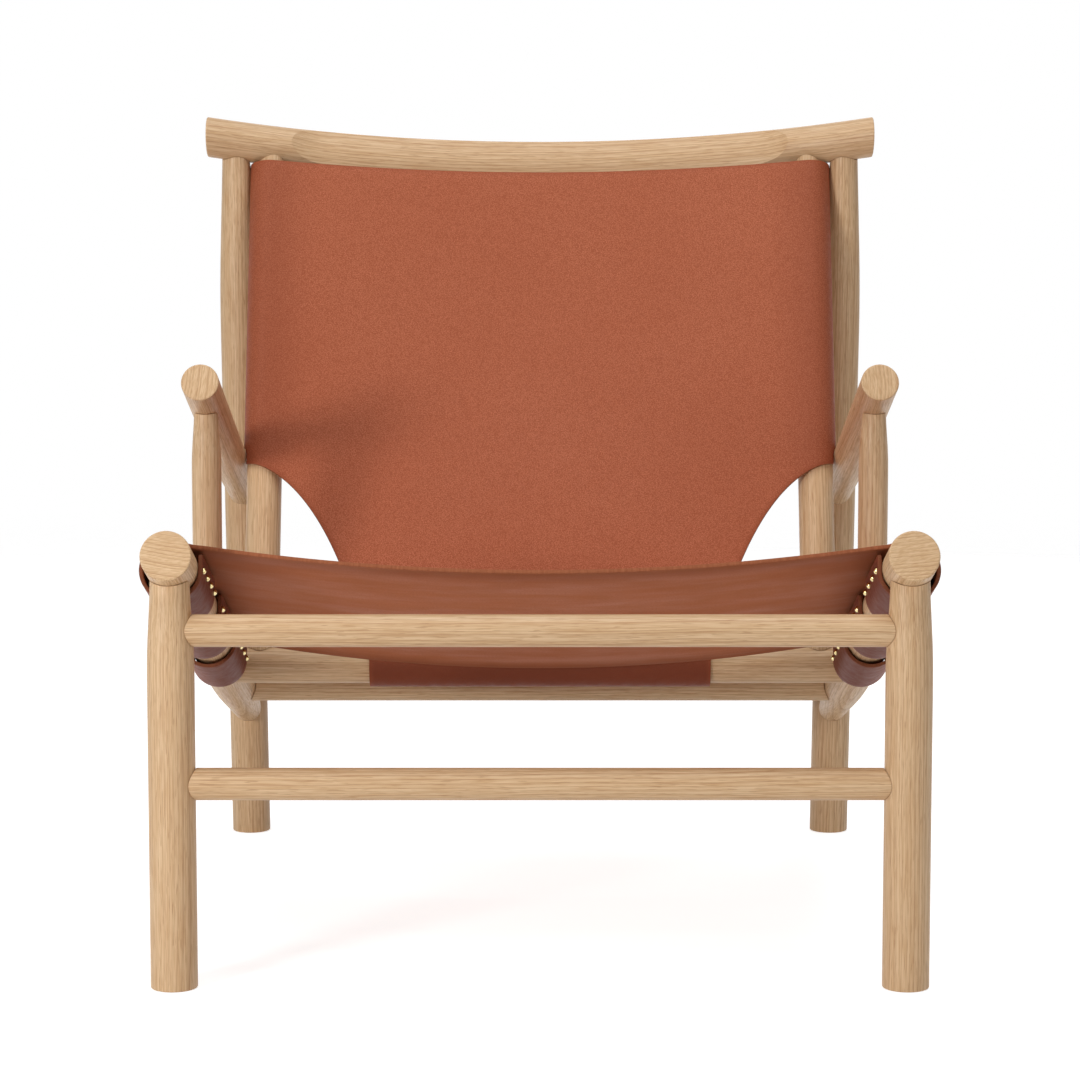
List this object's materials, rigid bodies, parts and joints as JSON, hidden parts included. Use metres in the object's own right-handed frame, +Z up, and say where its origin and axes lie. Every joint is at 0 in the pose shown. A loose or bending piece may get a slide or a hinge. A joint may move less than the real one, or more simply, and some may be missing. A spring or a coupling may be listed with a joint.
{
  "type": "leather sling lounge chair",
  "caption": "Low lounge chair: glued frame of round oak rods with sloping arms, a leather seat looped over its side rails and a scalloped leather back hung under a bent top rail.",
  "frame": {"origin": "on the floor, at the middle of the chair's box", "axes": "+Z up, the sitter faces -Y, +X to the right of someone who looks at the chair from the front"},
  "size_m": [0.7632, 0.8339, 0.8525],
  "materials": {
    "oak": "fine sanded, soap or oil finish, satin",
    "dowel": "plain, hidden in the joints",
    "seat_leather": "smooth saddle leather, flesh side below",
    "back_leather": "fine pebble grain, satin",
    "brass": "polished dome nails"
  },
  "bodies": {
    "root": {"front_leg_left": "oak", "front_leg_right": "oak", "rear_leg_left": "oak", "rear_leg_right": "oak", "seat_rail_left": "oak", "seat_rail_right": "oak", "arm_left": "oak", "arm_right": "oak", "arm_post_left": "oak", "arm_post_right": "oak", "back_post_left": "oak", "back_post_right": "oak", "top_rail": "oak", "front_stretcher_upper": "oak", "front_stretcher_lower": "oak", "rear_stretcher": "oak", "back_bar": "oak", "dowel_front_leg_left": "dowel", "dowel_front_leg_right": "dowel", "dowel_upper_stretcher_left": "dowel", "dowel_upper_stretcher_right": "dowel", "dowel_lower_stretcher_left": "dowel", "dowel_lower_stretcher_right": "dowel", "dowel_rail_left": "dowel", "dowel_rail_right": "dowel", "dowel_back_bar_left": "dowel", "dowel_back_bar_right": "dowel", "dowel_rear_stretcher_left": "dowel", "dowel_rear_stretcher_right": "dowel", "dowel_arm_post_foot_left": "dowel", "dowel_arm_post_foot_right": "dowel", "dowel_arm_post_top_left": "dowel", "dowel_arm_post_top_right": "dowel", "dowel_arm_left": "dowel", "dowel_arm_right": "dowel", "dowel_back_post_foot_left": "dowel", "dowel_back_post_foot_right": "dowel", "dowel_back_post_top_left": "dowel", "dowel_back_post_top_right": "dowel", "dowel_rear_leg_left": "dowel", "dowel_rear_leg_right": "dowel", "seat_sling": "seat_leather", "back_sling": "back_leather"}
  },
  "joints": []
}
